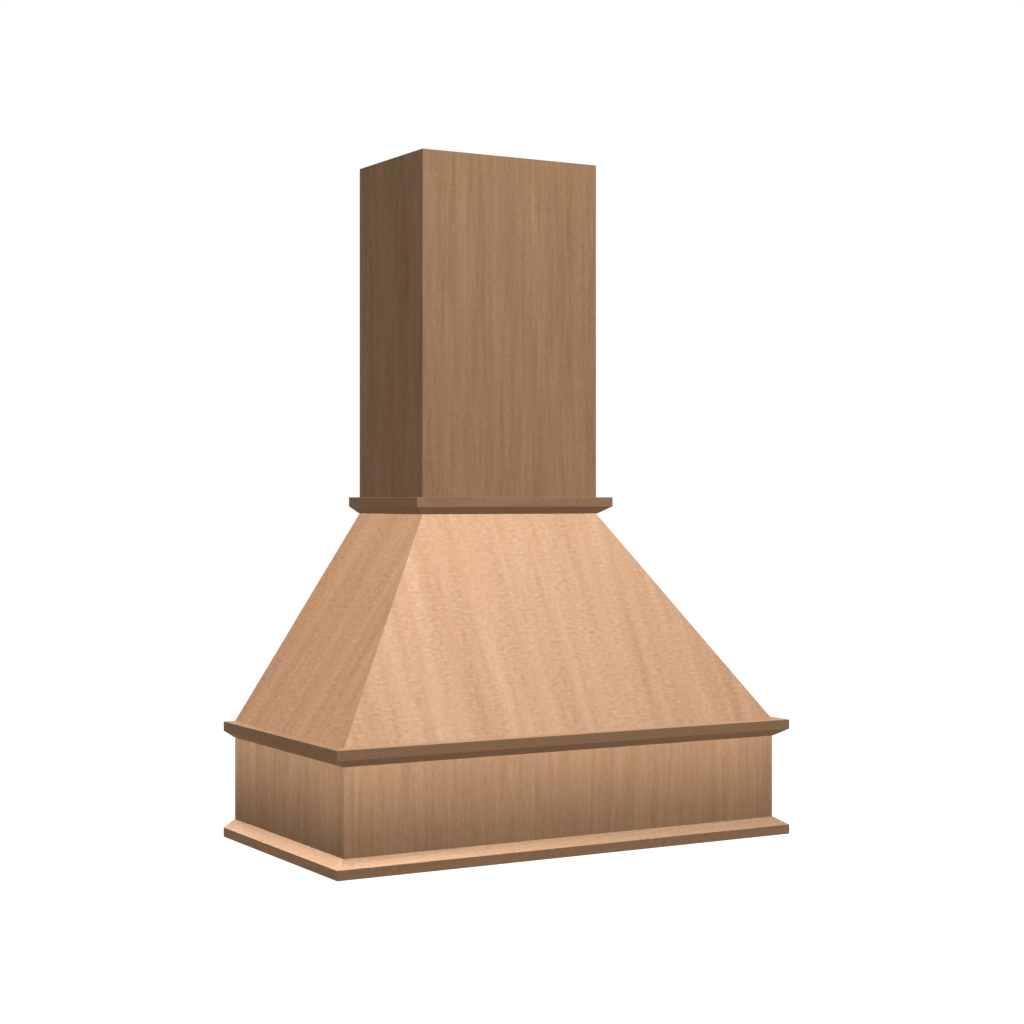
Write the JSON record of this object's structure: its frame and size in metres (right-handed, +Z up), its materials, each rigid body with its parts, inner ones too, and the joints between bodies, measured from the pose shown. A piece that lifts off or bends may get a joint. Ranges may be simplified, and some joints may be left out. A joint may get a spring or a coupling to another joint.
{
  "type": "wooden range hood cover",
  "caption": "Wall-hung wooden cover for a kitchen range hood: an apron box, a tapered canopy and a chimney box with bevelled mouldings at each seam.",
  "frame": {"origin": "middle of the bottom edge in the wall plane", "axes": "+Z up, +Y into the wall that the cover hangs on, so the front faces -Y, and +X to the right as seen from the front"},
  "size_m": [0.961, 0.5115, 1.302],
  "materials": {
    "veneered_plywood": "unfinished straight-grained reddish veneer on plywood, sanded",
    "figured_plywood": "unfinished veneer with a soft cross figure on plywood, sanded",
    "moulding": "unfinished solid wood with the same reddish colour, sanded",
    "plywood": "unfinished birch plywood, sawn edges",
    "softwood": "unfinished pine, sawn",
    "zinc_steel": "zinc-plated steel"
  },
  "bodies": {
    "root": {"chimney_front_panel": "veneered_plywood", "chimney_left_panel": "veneered_plywood", "chimney_right_panel": "veneered_plywood", "chimney_splines": "plywood", "chimney_glue_blocks": "softwood", "chimney_top_rail": "plywood", "chimney_bottom_rail": "plywood", "neck_cleat_front": "plywood", "neck_cleat_left": "plywood", "neck_cleat_right": "plywood", "neck_moulding_front": "moulding", "neck_moulding_left": "moulding", "neck_moulding_right": "moulding", "canopy_front_panel": "figured_plywood", "canopy_left_panel": "figured_plywood", "canopy_right_panel": "figured_plywood", "hip_splines": "plywood", "hip_batten_left": "softwood", "hip_batten_right": "softwood", "neck_rail_front": "plywood", "neck_rail_left": "plywood", "neck_rail_right": "plywood", "canopy_top_rail": "plywood", "hanging_rail": "plywood", "canopy_cleat_front": "plywood", "canopy_cleat_left": "plywood", "canopy_cleat_right": "plywood", "waist_moulding_front": "moulding", "waist_moulding_left": "moulding", "waist_moulding_right": "moulding", "waist_rail_front": "plywood", "waist_rail_left": "plywood", "waist_rail_right": "plywood", "apron_front_panel": "veneered_plywood", "apron_left_panel": "veneered_plywood", "apron_right_panel": "veneered_plywood", "apron_splines": "plywood", "apron_glue_blocks": "softwood", "apron_back_rail": "plywood", "liner_panel": "plywood", "liner_cleat_front": "plywood", "liner_cleat_left": "plywood", "liner_cleat_right": "plywood", "liner_cleat_back": "plywood", "base_moulding_front": "moulding", "base_moulding_left": "moulding", "base_moulding_right": "moulding", "neck_screws": "zinc_steel", "canopy_screws": "zinc_steel", "liner_screws": "zinc_steel", "pocket_screws": "zinc_steel"}
  },
  "joints": []
}
